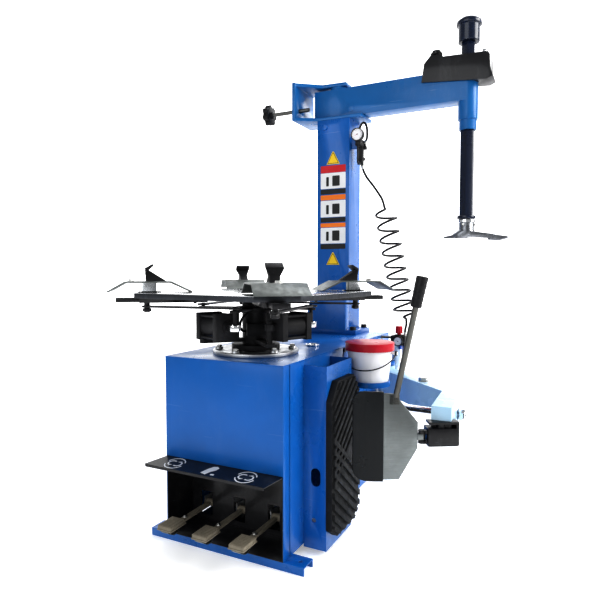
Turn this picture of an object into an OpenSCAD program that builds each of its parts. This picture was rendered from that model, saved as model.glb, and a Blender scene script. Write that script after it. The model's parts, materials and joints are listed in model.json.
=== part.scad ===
// Swing-arm tyre changer: cabinet, turntable with four clamping jaws, swing arm with
// hexagonal shaft and mount head, and a side bead breaker.
// +X is the breaker side, -Y the operator's side, +Z up. The origin is on the floor,
// under the middle of the cabinet.

/* [Cabinet] */
// Width of the cabinet
cab_w = 430; // [420:5:440]
// Depth of the cabinet, front face to rear face
cab_d = 980; // [970:5:990]
// Height of the cabinet's top above the floor
cab_top = 600; // [595:1:605]
// Height of the base channels
base_h = 25; // [20:1:28]
// Length of the base channels
base_w = 560; // [540:10:600]
// Sheet thickness
sheet = 3; // [2:0.5:3]
// Height of the pedal recess's top edge
recess_top = 277; // [265:1:285]

/* [Turntable] */
// Turntable axis behind the cabinet's front face
table_back = 203; // [200:1:206]
// Height of the turntable's top
table_top = 803; // [800:1:806]
// Thickness of the turntable plate
plate_t = 16; // [14:1:16]
// Turntable width across its long edges
table_across = 636; // [620:2:640]
// Radius to the clipped corners
corner_r = 385; // [380:1:388]
// Angle of the first jaw
table_turn = 40; // [0:5:90]
// Radius of a slide's pin with the jaw fully out
slide_r = 350; // [348:1:352]
// Radius of the pins on the spider
spider_r = 190; // [188:1:192]

/* [Column and swing arm] */
// Column axis behind the cabinet's front face
column_back = 915; // [910:1:916]
// Width of the column
column_w = 150; // [140:5:150]
// Depth of the column
column_d = 130; // [120:5:130]
// Height of the column's top
column_top = 1528; // [1528:1:1530]
// Reach of the swing arm, pivot axis to shaft axis
arm_reach = 554; // [540:2:560]
// Height of the swing arm's tube
arm_h = 120; // [110:2:120]
// Width of the swing arm's tube
arm_w = 76; // [70:1:78]
// Hexagonal shaft, across flats
shaft_af = 50; // [46:1:50]

/* [Bead breaker] */
// Diameter of the breaker cylinder
breaker_bore = 150; // [130:2:160]
// Height of the breaker rod
rod_z = 405; // [400:1:410]

/* [Hidden] */

gap = 0.3;          // running clearance, on the radius
eps = 1;            // overshoot of a cutter

function back(d) = d - cab_d / 2;   // distance behind the cabinet's front face
function polar(r, a) = [r * cos(a), r * sin(a)];

half_w = cab_w / 2;
channel_d = 60;
anchor_x = 255;
anchor_r = 7;
return_d = 38;
hub_r = 45;
gear_flange_z = cab_top + 12;

table_y = back(table_back);
plate_z = table_top - plate_t;
bar_z = plate_z - 14;
link_z = bar_z - 18;
spider_z = link_z - 11;
clamp_z = 698;
spider_lead = 62;                       // spider pin ahead of its slide, jaws out
link_len = sqrt(pow(slide_r - spider_r * cos(spider_lead), 2) + pow(spider_r * sin(spider_lead), 2));
link_angle = atan2(spider_r * sin(spider_lead), spider_r * cos(spider_lead) - slide_r);
clamp_base = [-170, -17];               // cylinder pivot on the hub's carrier
clamp_eye = polar(spider_r, 180 + spider_lead);
clamp_dir = atan2(clamp_eye[1] - clamp_base[1], clamp_eye[0] - clamp_base[0]);
clamp_reach = norm(clamp_eye - clamp_base);
clamp_body = 135;                       // base pivot to the front cap's face
clamp_side = 84;

column_y = back(column_back);
column_foot_z = cab_top + 20;
arm_z = column_top + 15;
bracket_h = 163;
shaft_bottom = 1081;
shaft_top = 1773;

breaker_pivot = [255, back(830)];
breaker_elbow = [585, back(512)];
breaker_tip = [600, back(300)];
trunnion = [150, back(480)];
rod_end = [620.5, back(440)];
rod_angle = atan2(rod_end[1] - trunnion[1], rod_end[0] - trunnion[0]);
rod_len = norm(rod_end - trunnion);
blade_pin = [552, back(249)];
blade_turn = 29.3;
blade_w = 207;

pail_at = [323, back(425)];
pail_z = 489;
pail_h = 144;
unit_at = [290, back(885)];
gun_at = [112, back(900)];

air_hose_low = [[314, 402, 600], [314, 402, 612], [315, 402, 628], [319, 402, 644], [323, 402, 658]];
air_hose_high = [[214, 408, 1163], [206, 408, 1180], [190, 409, 1205], [165, 410, 1240],
    [140, 410, 1272], [124, 410, 1300], [116, 410, 1326]];
coil_low = [322, 402, 656];
coil_high = [214, 408, 1163];
gun_loop = [[126, 410, 1420], [136, 412, 1446], [134, 414, 1490], [122, 416, 1512], [108, 416, 1506],
    [98, 416, 1476], [96, 416, 1430], [98, 416, 1380], [106, 414, 1346], [116, 412, 1332]];

module block(x0, x1, y0, y1, z0, z1) {
    translate([x0, y0, z0])
        cube([x1 - x0, y1 - y0, z1 - z0]);
}

module post(p, r, z0, z1) {
    translate([p[0], p[1], z0])
        cylinder(r = r, h = z1 - z0, $fn = 48);
}

module along_x(p, r, len) {
    translate(p)
        rotate([0, 90, 0])
            cylinder(r = r, h = len, $fn = 48);
}

module along_y(p, r, len) {
    translate(p)
        rotate([-90, 0, 0])
            cylinder(r = r, h = len, $fn = 48);
}

// A flat bar from p to q in plan, with round ends
module strap(p, q, r, z0, z1) {
    d = q - p;
    hw = 0.96 * r;
    translate([p[0], p[1], z0])
        rotate([0, 0, atan2(d[1], d[0])])
            translate([0, -hw, 0.4])
                cube([norm(d), 2 * hw, z1 - z0 - 0.8]);
    post(p, r, z0, z1);
    post(q, r, z0, z1);
}

// Everything inside is placed about the turntable's axis, first jaw along +X
module on_table() {
    translate([0, table_y, 0])
        rotate([0, 0, table_turn])
            children();
}

// ---- frame and cabinet ----

module base_channel(y0) {
    difference() {
        block(-base_w / 2, base_w / 2, y0, y0 + channel_d, 0, base_h);
        block(-base_w / 2 - eps, base_w / 2 + eps, y0 + sheet, y0 + channel_d - sheet, -eps, base_h - sheet);
        for (side = [-1, 1])
            post([side * anchor_x, y0 + channel_d / 2], anchor_r, base_h - sheet - eps, base_h + eps);
    }
}

module base_channels() {
    color([0.05, 0.32, 0.62]) {
        base_channel(back(0));
        base_channel(back(cab_d - channel_d));
        block(-40, 40, back(channel_d), back(cab_d - channel_d), 0, 6);
    }
}

module cabinet_shell() {
    side_front = back(return_d + sheet);
    seam = 0.5;
    color([0.05, 0.34, 0.66])
        difference() {
            union() {
                block(-half_w, half_w, side_front, back(cab_d), base_h, cab_top);
                block(-half_w, half_w, back(0), side_front + eps, cab_top - sheet, cab_top);
            }
            block(-half_w + sheet, half_w - sheet, side_front - eps, back(cab_d - sheet),
                base_h - eps, cab_top - sheet);
            post([0, table_y], 92, cab_top - sheet - eps, cab_top + eps);
            block(half_w - sheet - eps, half_w + eps, back(445), back(540), rod_z - 26, rod_z + 26);
            // seams that make the right side four sections round the rod's window
            for (y = [back(445) - seam, back(540), back(cab_d - sheet) - seam])
                block(half_w - sheet - eps, half_w + eps, y, y + seam, base_h - eps, cab_top - sheet);
            block(half_w - sheet - eps, half_w + eps, side_front - eps, back(cab_d - sheet),
                cab_top - sheet - seam, cab_top - sheet);
        }
    color([0.05, 0.30, 0.58]) {
        post(breaker_pivot, 16, 323, 497);
        for (z = [322, 483]) {
            strap([half_w + 2, breaker_pivot[1]], breaker_pivot, 34, z, z + 15);
            block(half_w - 1, half_w + 20, breaker_pivot[1] - 34, breaker_pivot[1] + 34, z, z + 15);
        }
        for (z = [316, 484])
            difference() {
                block(100, half_w - 1, back(450), back(510), z, z + 10);
                post(trunnion, 14 + gap, z - eps, z + 12);
            }
    }
}

module front_panel() {
    color([0.04, 0.32, 0.64])
        difference() {
            block(-half_w, half_w, back(0), back(return_d), base_h, cab_top - sheet);
            block(-half_w + sheet, half_w - sheet, back(sheet), back(return_d + eps), base_h - eps, cab_top);
            block(-half_w + sheet, half_w - sheet, back(-eps), back(return_d + eps), base_h - eps, recess_top);
        }
}

// Black liner of the pedal recess, with the sloped hood along its top edge
module pedal_recess() {
    wall = 2;
    inner = half_w - sheet;
    deep = 130;
    color([0.04, 0.05, 0.06]) {
        difference() {
            block(-inner, inner, back(0), back(deep), base_h, recess_top);
            block(-inner + wall, inner - wall, back(-eps), back(deep - wall), base_h + wall, recess_top - wall);
            for (x = [-150, -20, 110])
                block(x - 22, x + 22, back(deep - wall - eps), back(deep + eps), 45, 125);
        }
        translate([0, back(0), recess_top - sheet - 0.7])
            rotate([7, 0, 0])
                linear_extrude(height = sheet)
                    polygon([[-242, -71], [192, -71], [inner, 0], [inner - 1, 3], [1 - inner, 3], [-inner, 0]]);
        translate([0, back(-71), recess_top - 18])
            block(-240, 190, 0, 2, 0, 8);
    }
}

module abutment_bracket() {
    x1 = 292;
    color([0.06, 0.36, 0.68])
        difference() {
            block(half_w, x1, back(130), back(334), 15, 583);
            block(half_w - eps, x1 - 4, back(134), back(330), 15 - eps, 583 + eps);
            along_y([256, back(130 - eps), 240 + 12], 16, 6);
            along_y([256, back(130 - eps), 240 - 12], 16, 6);
            block(240, 272, back(130 - eps), back(135), 228, 252);
            along_y([250, back(130 - eps), 105], 7, 6);
        }
}

// Rubber pad: an elongated octagon with chevron ribs
module pad_outline(inset) {
    y0 = back(125) + inset;
    y1 = back(350) - inset;
    z0 = 52 + inset;
    z1 = 535 - inset;
    polygon([[y0, z0 + 32], [y0 + 45, z0], [y1 - 45, z0], [y1, z0 + 32],
        [y1, z1 - 57], [y1 - 45, z1], [y0 + 45, z1], [y0, z1 - 57]]);
}

module pad_plane(x, t) {
    translate([x, 0, 0])
        rotate([90, 0, 90])
            linear_extrude(height = t)
                children();
}

module abutment_pad() {
    mid_z = 293;
    mid_y = back(238);
    color([0.10, 0.10, 0.11]) {
        pad_plane(292, 20)
            pad_outline(0);
        pad_plane(311, 9)
            intersection() {
                pad_outline(6);
                union()
                    for (side = [-1, 1])
                        for (i = [0 : 9])
                            translate([mid_y, mid_z + side * (14 + i * 34)])
                                rotate([0, 0, side * 38])
                                    translate([-220, -7])
                                        square([440, 14]);
                translate([back(0), mid_z - 250])
                    square([400, 500]);
            }
    }
}

// ---- drive, under the cabinet's top ----

module gearbox() {
    color([0.62, 0.64, 0.66])
        translate([0, table_y, 0])
            difference() {
                union() {
                    block(-110, 110, -100, 130, 525, cab_top - sheet);
                    post([0, 0], 90, 590, gear_flange_z - 4);
                    post([0, 0], 142, cab_top, gear_flange_z);
                    for (i = [0 : 5])
                        post(polar(122, 30 + i * 60), 13, gear_flange_z - 1, gear_flange_z + 8);
                    post([0, 90], 22, 519, 526);
                    post([101, 228], 24, cab_top, cab_top + 7);
                }
                post([0, 0], 30 + gap, 520, gear_flange_z + eps);
                post([0, 90], 12 + gap, 510, 560);
                post([101, 228], 14, cab_top + 1, cab_top + 8);
            }
}

module motor() {
    color([0.10, 0.28, 0.45])
        translate([0, back(720), 0])
            difference() {
                union() {
                    post([0, 0], 72, 260, 470);
                    post([0, 0], 84, 462, 482);
                    block(60, 100, -30, 30, 330, 430);
                    block(-half_w + sheet, half_w - sheet, -60, 60, 482, 486);
                }
                post([0, 0], 11 + gap, 400, 490);
            }
}

module pulley(at, r, shaft_r, z_low, z_high) {
    translate([at[0], at[1], 0]) {
        difference() {
            post([0, 0], r, 497, 515);
            translate([0, 0, 506])
                rotate_extrude($fn = 72)
                    polygon([[r - 7, -4], [r + eps, -7], [r + eps, 7], [r - 7, 4]]);
        }
        post([0, 0], shaft_r, z_low, z_high);
    }
}

module motor_pulley() {
    color([0.45, 0.46, 0.48])
        pulley([0, back(720)], 38, 11, 402, 516);
}

module gearbox_pulley() {
    color([0.45, 0.46, 0.48])
        pulley([0, back(table_back + 90)], 90, 12, 497, 558);
}

// Round loop about both pulleys, each at its radius
module belt_loop(r_big, r_small) {
    hull() {
        translate([0, back(table_back + 90)])
            circle(r = r_big, $fn = 72);
        translate([0, back(720)])
            circle(r = r_small, $fn = 48);
    }
}

module drive_belt() {
    color([0.08, 0.08, 0.08])
        translate([0, 0, 503])
            linear_extrude(height = 6)
                difference() {
                    belt_loop(89.5, 37.5);
                    belt_loop(84.5, 32.5);
                }
}

module valve_block() {
    color([0.55, 0.57, 0.60]) {
        block(-190, 150, back(212), back(262), 60, 120);
        for (x = [-150, -20, 110])
            along_y([x, back(182), 88], 11, 31);
        block(-half_w + sheet, half_w - sheet, back(262), back(268), base_h, 130);
        for (x = [-150, -20, 110]) {
            for (side = [-1, 1])
                block(x + side * 18 - 2, x + side * 18 + 2, back(138), back(214), 62, 100);
            along_x([x - 19, back(150), 78], 5, 38);
        }
    }
}

// ---- pedals ----

pedal_x = [-150, -20, 110];
pedal_axis = [back(150), 78];

module pedal(x) {
    color([0.62, 0.58, 0.50]) {
        difference() {
            union() {
                block(x - 7, x + 7, back(-20), back(150), 72, 84);
                along_x([x - 15, pedal_axis[0], pedal_axis[1]], 12, 30);
            }
            along_x([x - 20, pedal_axis[0], pedal_axis[1]], 5 + gap, 40);
        }
        block(x - 27, x + 27, back(-92), back(-18), 78, 82);
        block(x - 7, x + 7, back(-60), back(-18), 72, 79);
        block(x - 25, x + 25, back(-90), back(-20), 82, 92);
        for (i = [0 : 8])
            block(x - 24, x + 24, back(-88 + i * 7.6), back(-84.5 + i * 7.6), 91, 94);
    }
}

module pedal_left() {
    pedal(pedal_x[0]);
}

module pedal_middle() {
    pedal(pedal_x[1]);
}

module pedal_right() {
    pedal(pedal_x[2]);
}

// ---- column and swing arm ----

module column() {
    x1 = column_w / 2;
    y0 = column_y - column_d / 2;
    y1 = column_y + column_d / 2;
    color([0.06, 0.36, 0.68]) {
        difference() {
            block(-x1, x1, y0, y1, column_foot_z, column_top);
            block(-x1 + 5, x1 - 5, y0 + 5, y1 - 5, column_foot_z - eps, column_top - 8);
        }
        block(x1, x1 + 28, column_y - 36, column_y - 30, 1398, 1452);
        block(x1 + 20, x1 + 26, column_y - 36, column_y - 16, 1398, 1404);
        along_y([-38, y0 - 9, 1497], 13, 9);
    }
}

module column_foot() {
    y0 = column_y - column_d / 2;
    color([0.05, 0.32, 0.60]) {
        block(-125, 125, y0 - 45, back(cab_d), cab_top, column_foot_z);
        translate([0, y0, 0])
            rotate([90, 0, 0])
                linear_extrude(height = 38)
                    polygon([[-121, column_foot_z], [75, column_foot_z], [75, 790], [-82, 790]]);
    }
    color([0.08, 0.08, 0.09])
        for (p = [[-105, y0 - 25], [105, y0 - 25], [-105, back(cab_d - 20)], [105, back(cab_d - 20)]])
            post(p, 13, column_foot_z, column_foot_z + 14);
}

// Bracket on the column's head: two plates and a left wall hold the swing arm's pin
module arm_bracket() {
    z0 = column_top;
    z1 = z0 + bracket_h;
    color([0.04, 0.26, 0.50]) {
        translate([0, 0, z0])
            linear_extrude(height = 13)
                polygon([[-170, back(790)], [-62, back(852)], [128, back(852)], [128, back(cab_d)],
                    [-170, back(cab_d)]]);
        difference() {
            block(-170, -156, back(790), back(cab_d), z0, z1);
            along_x([-172, back(835), 1578], 8 + gap, 20);
        }
        translate([0, 0, z1 - 14])
            linear_extrude(height = 14)
                polygon([[-170, back(790)], [-62, back(876)], [46, back(884)], [46, back(cab_d)],
                    [-170, back(cab_d)]]);
        difference() {
            along_x([-180, back(835), 1578], 17, 24);
            along_x([-182, back(835), 1578], 8 + gap, 40);
        }
        post([0, column_y], 25, z0 + 12, z1 - 13);
    }
    color([0.5, 0.5, 0.52])
        post([0, column_y], 20, z1 - 1, z1 + 5);
}

module stop_knob() {
    at = [back(835), 1578];
    color([0.75, 0.75, 0.77])
        along_x([-292, at[0], at[1]], 8, 184);
    color([0.05, 0.05, 0.06]) {
        along_x([-322, at[0], at[1]], 34, 26);
        along_x([-298, at[0], at[1]], 15, 12);
        for (i = [0 : 6])
            along_x([-320, at[0] + 32 * cos(i * 360 / 7), at[1] + 32 * sin(i * 360 / 7)], 13, 22);
    }
}

module hexagon(af, z0, z1) {
    translate([arm_reach, column_y, z0])
        rotate([0, 0, 30])
            cylinder(r = af / 2 / cos(30), h = z1 - z0, $fn = 6);
}

module swing_arm() {
    hw = arm_w / 2;
    wall = 5;
    z1 = arm_z + arm_h;
    tail = -101;
    axis = [arm_reach, column_y];
    color([0.06, 0.36, 0.66])
        difference() {
            union() {
                block(tail, arm_reach, column_y - hw, column_y + hw, arm_z, z1);
                post([0, column_y], hw, arm_z - 1, z1 + 12);
                post(axis, hw, 1471, 1690);
                post(axis, 33, 1431, 1472);
                along_y([70, column_y - hw - 3, 1572], 15, 4);
            }
            block(tail + wall, -35, column_y - hw + wall, column_y + hw - wall, arm_z + wall, z1 - wall);
            block(35, arm_reach - hw - wall, column_y - hw + wall, column_y + hw - wall, arm_z + wall, z1 - wall);
            post([0, column_y], 25 + gap, arm_z - 5, z1 + 20);
            hexagon(shaft_af + 2 * gap, 1400, 1700);
        }
}

module lock_housing() {
    hw = arm_w / 2;
    color([0.05, 0.07, 0.10])
        difference() {
            translate([0, column_y + 46, 0])
                rotate([90, 0, 0])
                    linear_extrude(height = 92)
                        polygon([[378, 1632], [388, 1704], [414, 1732], [440, 1732], [462, 1720], [632, 1712],
                            [640, 1700], [642, 1652], [652, 1618], [630, 1608]]);
            block(300, arm_reach, column_y - hw, column_y + hw, 1500, arm_z + arm_h);
            post([arm_reach, column_y], hw, 1500, 1690);
            block(394, arm_reach - hw - 8, column_y - 38, column_y + 38, 1600, 1700);
            hexagon(shaft_af + 2 * gap, 1600, 1800);
            post([427, column_y], 8 + gap, 1690, 1740);
        }
}

module lock_knob() {
    color([0.04, 0.04, 0.05]) {
        post([427, column_y], 8, 1702, 1742);
        post([427, column_y], 24, 1738, 1752);
        post([427, column_y], 17, 1751, 1762);
        block(422, 432, column_y - 40, column_y, 1740, 1750);
    }
}

module hex_shaft() {
    axis = [arm_reach, column_y];
    color([0.07, 0.12, 0.18])
        hexagon(shaft_af, shaft_bottom + 6, shaft_top);
    color([0.06, 0.06, 0.07])
        post(axis, 36, shaft_bottom, shaft_bottom + 12);
}

module shaft_cap() {
    axis = [arm_reach, column_y];
    color([0.05, 0.09, 0.14]) {
        post(axis, 41, shaft_top, 1842);
        post(axis, 49, 1838, 1852);
        translate([axis[0], axis[1], 1852])
            cylinder(r1 = 49, r2 = 40, h = 10, $fn = 48);
    }
}

// Mount and demount head: neck, shoe with a long beak and a short tongue, plastic insert
module mount_head() {
    color([0.75, 0.77, 0.80])
        translate([arm_reach, column_y, 0]) {
            post([0, 0], 30, 1034, shaft_bottom);
            hull() {
                post([0, 0], 32, 1018, 1036);
                post([-20, 0], 34, 1006, 1020);
            }
            hull() {
                post([10, 0], 26, 1010, 1030);
                post([96, 6], 14, 1002, 1018);
            }
            hull() {
                post([96, 6], 14, 996, 1016);
                translate([154, 8, 1004])
                    sphere(r = 5, $fn = 24);
                post([118, 6], 12, 992, 1010);
            }
            hull() {
                post([-24, 0], 30, 1004, 1018);
                translate([-84, -6, 1008])
                    sphere(r = 4, $fn = 24);
            }
        }
}

// ---- turntable ----

module turntable() {
    color([0.86, 0.87, 0.88])
        on_table()
            difference() {
                translate([0, 0, plate_z])
                    linear_extrude(height = plate_t)
                        intersection() {
                            rotate(45)
                                square(table_across, center = true);
                            square(2 * corner_r, center = true);
                        }
                for (i = [0 : 3])
                    rotate([0, 0, i * 90])
                        block(205, slide_r + 30, -15, 15, plate_z - eps, table_top + eps);
                post([0, 0], 28, plate_z - eps, table_top + eps);
            }
    color([0.10, 0.10, 0.11])
        on_table()
            for (i = [0 : 3])
                rotate([0, 0, i * 90])
                    for (side = [-1, 1])
                        translate([0, side * 30, 0])
                            block(160, 372, -5.5, 5.5, bar_z - 2, plate_z);
}

module table_hub() {
    color([0.07, 0.07, 0.08])
        on_table() {
            post([0, 0], 29.8, 560, 640);
            post([0, 0], hub_r, 625, plate_z);
            post([0, 0], 80, 614, 630);
            post([0, 0], 62, 770, plate_z);
            post([0, 0], 52, 734, 743.6);
            for (turn = [0, 90])
                rotate([0, 0, turn]) {
                    strap(polar(36, atan2(clamp_base[1], clamp_base[0])), clamp_base, 16, 638, 650);
                    post(clamp_base, 8, 649, 716);
                }
            block(-36, 36, -52, 52, 660, 700);
        }
}

module spider() {
    color([0.09, 0.09, 0.10])
        on_table()
            difference() {
                union() {
                    post([0, 0], 74, spider_z, spider_z + 8);
                    for (i = [0 : 3])
                        strap(polar(56, i * 90 + spider_lead), polar(spider_r, i * 90 + spider_lead), 15,
                            spider_z + 0.5, spider_z + 7.5);
                    for (i = [0 : 3])
                        post(polar(spider_r, i * 90 + spider_lead), 6, spider_z, link_z + 8);
                    for (turn = [180, 270])
                        post(polar(spider_r, turn + spider_lead), 5.8, clamp_z - 10, spider_z + 1);
                }
                post([0, 0], hub_r + gap, spider_z - eps, spider_z + 10);
            }
}

module slide(i) {
    color([0.06, 0.06, 0.07])
        on_table()
            rotate([0, 0, i * 90])
                difference() {
                    union() {
                        block(slide_r - 112, slide_r + 93, -24, 24, bar_z, plate_z - gap);
                        block(slide_r - 44, slide_r + 26, -14.5, 14.5, plate_z - 1, table_top + 3);
                        post([slide_r, 0], 9, spider_z - 4, bar_z + 1);
                        translate([slide_r, 0, spider_z - 2])
                            cylinder(r = 14, h = 10, $fn = 6);
                    }
                    post([slide_r + 78, 0], 6, bar_z - eps, plate_z);
                }
}

module slide_1() {
    slide(0);
}

module slide_2() {
    slide(1);
}

module slide_3() {
    slide(2);
}

module slide_4() {
    slide(3);
}

// Clamp: folded steel cover over the slot, with the gripping jaw on it
module jaw(i) {
    low = table_top + 3;
    top = table_top + 35;
    inner = slide_r - 142;
    outer = slide_r + 119;
    on_table()
        rotate([0, 0, i * 90]) {
            color([0.60, 0.62, 0.62])
                translate([0, 75, 0])
                    rotate([90, 0, 0])
                        linear_extrude(height = 150)
                            polygon([[inner, low], [inner + 66, top], [outer - 56, top], [outer, low],
                                [outer - 9, low], [outer - 59, top - 4], [inner + 69, top - 4], [inner + 9, low]]);
            color([0.60, 0.62, 0.62])
                block(slide_r - 30, slide_r + 14, -14, 14, low, top - 3);
            color([0.06, 0.06, 0.07])
                intersection() {
                    translate([0, 30, 0])
                        rotate([90, 0, 0])
                            linear_extrude(height = 60)
                                polygon([[slide_r - 64, top - 1], [slide_r + 3, top - 1], [slide_r + 3, top + 42],
                                    [slide_r - 19, top + 55], [slide_r - 22, top + 50], [slide_r - 6, top + 36]]);
                    translate([slide_r - 80, 0, 0])
                        rotate([90, 0, 90])
                            linear_extrude(height = 100)
                                polygon([[-14, top - 2], [14, top - 2], [14, top + 18], [25, top + 38],
                                    [25, top + 60], [-25, top + 60], [-25, top + 38], [-14, top + 18]]);
                }
        }
}

module jaw_1() {
    jaw(0);
}

module jaw_2() {
    jaw(1);
}

module jaw_3() {
    jaw(2);
}

module jaw_4() {
    jaw(3);
}

// Link bar from a slide's pin to the spider. The spider end has a wide hole: it is the
// pivot at which the closed linkage is opened.
module link(i) {
    color([0.07, 0.07, 0.08])
        on_table()
            rotate([0, 0, i * 90])
                difference() {
                    union() {
                        post([slide_r, 0], 16, link_z, link_z + 6);
                        post(polar(spider_r, spider_lead), 20, link_z, link_z + 6);
                        translate([slide_r, 0, link_z])
                            rotate([0, 0, link_angle])
                                block(12, link_len - 14, -13, 13, 0, 6);
                    }
                    post([slide_r, 0], 9 + gap, link_z - eps, link_z + 8);
                    post(polar(spider_r, spider_lead), 11, link_z - eps, link_z + 8);
                }
}

module link_1() {
    link(0);
}

module link_2() {
    link(1);
}

module link_3() {
    link(2);
}

module link_4() {
    link(3);
}

// Clamp cylinders lie under the spider, each on a pivot of the hub's carrier
module along_clamp(turn) {
    on_table()
        rotate([0, 0, turn])
            translate([clamp_base[0], clamp_base[1], clamp_z])
                rotate([0, 0, clamp_dir])
                    children();
}

module clamp_cylinder(turn) {
    hs = clamp_side / 2;
    color([0.10, 0.11, 0.12])
        along_clamp(turn)
            difference() {
                union() {
                    block(0, 20, -13, 13, -10, 10);
                    post([0, 0], 15, -10, 10);
                    block(18, 38, -hs, hs, -hs, hs);
                    along_x([37, 0, 0], 38, clamp_body - 56);
                    block(clamp_body - 20, clamp_body, -hs, hs, -hs, hs);
                    for (a = [-1, 1])
                        for (b = [-1, 1])
                            along_x([37, a * 34, b * 34], 5, clamp_body - 56);
                    along_x([clamp_body - 1, 0, 0], 20, 7);
                }
                post([0, 0], 8 + gap, -20, 20);
                along_x([60, 0, 0], 10 + gap, clamp_body);
            }
}

module clamp_cylinder_1() {
    clamp_cylinder(0);
}

module clamp_cylinder_2() {
    clamp_cylinder(90);
}

module clamp_rod(turn) {
    color([0.82, 0.83, 0.85])
        along_clamp(turn)
            difference() {
                union() {
                    along_x([62, 0, 0], 10, clamp_reach - 62 - 12);
                    post([clamp_reach, 0], 17, -9, 9);
                    block(clamp_reach - 24, clamp_reach - 8, -12, 12, -9, 9);
                }
                post([clamp_reach, 0], 10, -20, 20);
            }
}

module clamp_rod_1() {
    clamp_rod(0);
}

module clamp_rod_2() {
    clamp_rod(90);
}

// ---- bead breaker ----

module along_breaker() {
    translate([trunnion[0], trunnion[1], rod_z])
        rotate([0, 0, rod_angle])
            children();
}

module breaker_cylinder() {
    r = breaker_bore / 2;
    color([0.50, 0.52, 0.55])
        along_breaker()
            difference() {
                union() {
                    along_x([-300, 0, 0], r, 320);
                    along_x([19, 0, 0], 30, 16);
                    post([0, 0], 14, -r - 18, r + 18);
                }
                along_x([-280, 0, 0], r - 8, 284);
                along_x([-10, 0, 0], 13 + gap, 60);
            }
}

module breaker_rod() {
    color([0.80, 0.81, 0.83])
        along_breaker() {
            along_x([-150, 0, 0], 13, rod_len + 179);
            along_x([-150, 0, 0], breaker_bore / 2 - 9, 16);
            translate([rod_len + 8, 0, 0])
                rotate([0, 90, 0])
                    cylinder(r = 22, h = 18, $fn = 6);
        }
}

// Plan of a beam from a by way of b to c, mitred at b and longer than c by extra
module bent_beam(a, b, c, hw, extra) {
    d1 = unit(b - a);
    d2 = unit(c - b);
    n1 = hw * [-d1[1], d1[0]];
    n2 = hw * [-d2[1], d2[0]];
    mitre = (n1 + n2) / (1 + d1 * d2);
    end = c + extra * d2;
    polygon([a + n1, b + mitre, end + n2, end - n2, b - mitre, a - n1]);
}

// Bent box beam: pivot at the cabinet's rear corner, elbow, and the blade's socket at the tip
module breaker_arm() {
    hw = 30;
    color([0.62, 0.76, 0.90])
        difference() {
            union() {
                translate([0, 0, 370])
                    linear_extrude(height = 95)
                        bent_beam(breaker_pivot, breaker_elbow, breaker_tip, hw, 24);
                post(breaker_pivot, 34, 345, 480);
            }
            post(breaker_pivot, 16 + gap, 340, 490);
            along_breaker()
                block(rod_len - 130, rod_len + 7, -24, 24, -17, 17);
        }
    color([0.07, 0.07, 0.08])
        on_blade() {
            block(12, 100, -26, 26, 352, 404);
            block(16, 106, -20, 20, 416, 423);
            block(98, 106, -20, 20, 352, 423);
            post([56, 0], 14, 400, 418);
            for (z = [356, 386])
                difference() {
                    union() {
                        post([0, 0], 12, z, z + 10);
                        block(0, 13, -11, 11, z, z + 10);
                    }
                    post([0, 0], 5 + gap, z - eps, z + 12);
                }
        }
}

// The blade's frame: origin at its pin, -X towards the working edge, faces along Y
module on_blade() {
    translate([blade_pin[0], blade_pin[1], 0])
        rotate([0, 0, blade_turn])
            children();
}

module blade_face(t) {
    translate([0, t, 0])
        rotate([90, 0, 0])
            linear_extrude(height = t)
                children();
}

module breaker_blade() {
    color([0.55, 0.58, 0.58])
        on_blade() {
            translate([0, -4, 0])
                blade_face(7)
                    polygon([[-118, 247], [-70, 247], [-14, 342], [-14, 420], [-84, 506], [-118, 508]]);
            block(-20, -14, -4, 10, 345, 417);
            block(-16, 0, -9, 9, 367, 385);
            post([0, 0], 10, 367, 385);
            post([0, 0], 5, 354, 399);
        }
}

// Black protective shell over the working half of the blade, curved about a vertical axis
module blade_cover() {
    edge = -118;
    bend_r = 190;
    color([0.05, 0.06, 0.07])
        on_blade()
            intersection() {
                translate([edge, bend_r - 6, 240])
                    difference() {
                        cylinder(r = bend_r, h = 275, $fn = 96);
                        translate([0, 0, -eps])
                            cylinder(r = bend_r - 12, h = 280, $fn = 96);
                    }
                translate([0, 60, 0])
                    rotate([90, 0, 0])
                        linear_extrude(height = 120)
                            union() {
                                translate([-176, 242])
                                    square([176 + edge, 270]);
                                translate([-206, 274])
                                    square([31, 206]);
                                translate([-176, 274])
                                    intersection() {
                                        scale([1, 1])
                                            circle(r = 31, $fn = 48);
                                        translate([-31, -32])
                                            square([32, 33]);
                                    }
                                translate([-176, 480])
                                    intersection() {
                                        circle(r = 31, $fn = 48);
                                        translate([-31, -1])
                                            square([32, 33]);
                                    }
                            }
            }
}

module blade_lever() {
    color([0.45, 0.44, 0.42])
        on_blade() {
            translate([-80, 2, 495])
                rotate([0, 12, 0])
                    cylinder(r = 9, h = 290, $fn = 32);
            block(-100, -70, -4, 10, 474, 504);
        }
    color([0.04, 0.04, 0.05])
        on_blade()
            translate([-80, 2, 495])
                rotate([0, 12, 0])
                    translate([0, 0, 275])
                        cylinder(r1 = 16, r2 = 18, h = 92, $fn = 32);
}

// ---- pail of lubricant ----

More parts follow.
